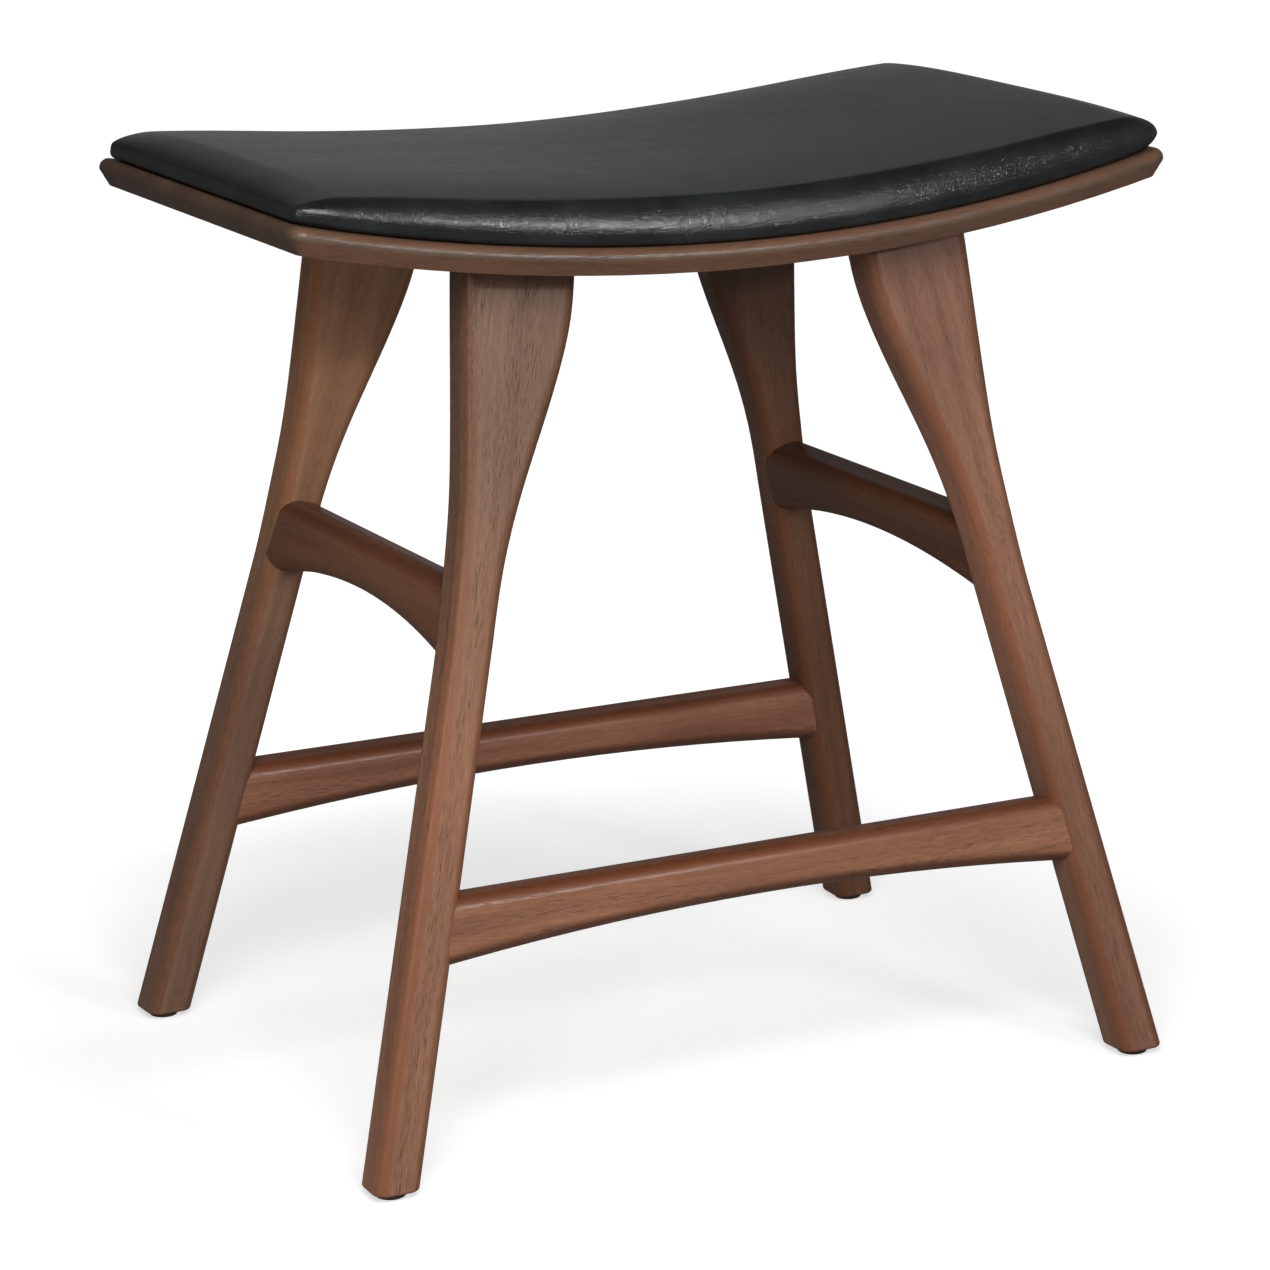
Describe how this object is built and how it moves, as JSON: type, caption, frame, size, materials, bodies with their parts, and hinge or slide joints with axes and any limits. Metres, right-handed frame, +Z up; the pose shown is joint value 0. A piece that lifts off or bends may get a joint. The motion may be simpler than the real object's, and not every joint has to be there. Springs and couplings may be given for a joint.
{
  "type": "stool",
  "caption": "Solid wood stool with a dipped seat panel, an upholstered leather pad, splayed blade-topped legs and arched stretchers.",
  "frame": {"origin": "on the floor, under the middle of the seat", "axes": "+X along the seat's length, +Y across the seat towards the back, +Z up"},
  "size_m": [0.478, 0.3246, 0.4893],
  "materials": {
    "seat_wood": "satin",
    "frame_wood": "satin",
    "dowel_wood": "matte",
    "plywood": "matte",
    "black_leather": "satin",
    "foam": "matte",
    "zinc_steel": "satin",
    "glide_plastic": "matte"
  },
  "bodies": {
    "root": {"seat_panel": "seat_wood", "leather_cover": "black_leather", "pad_foam": "foam", "pad_board": "plywood", "pad_tnuts": "zinc_steel", "pad_screws": "zinc_steel", "front_left_leg": "frame_wood", "front_right_leg": "frame_wood", "back_left_leg": "frame_wood", "back_right_leg": "frame_wood", "front_left_leg_dowels": "dowel_wood", "front_right_leg_dowels": "dowel_wood", "back_left_leg_dowels": "dowel_wood", "back_right_leg_dowels": "dowel_wood", "front_stretcher": "frame_wood", "back_stretcher": "frame_wood", "left_side_stretcher": "frame_wood", "right_side_stretcher": "frame_wood", "front_stretcher_dowels": "dowel_wood", "back_stretcher_dowels": "dowel_wood", "left_side_stretcher_dowels": "dowel_wood", "right_side_stretcher_dowels": "dowel_wood", "front_left_glide": "glide_plastic", "front_right_glide": "glide_plastic", "back_left_glide": "glide_plastic", "back_right_glide": "glide_plastic", "glide_pins": "zinc_steel"}
  },
  "joints": []
}
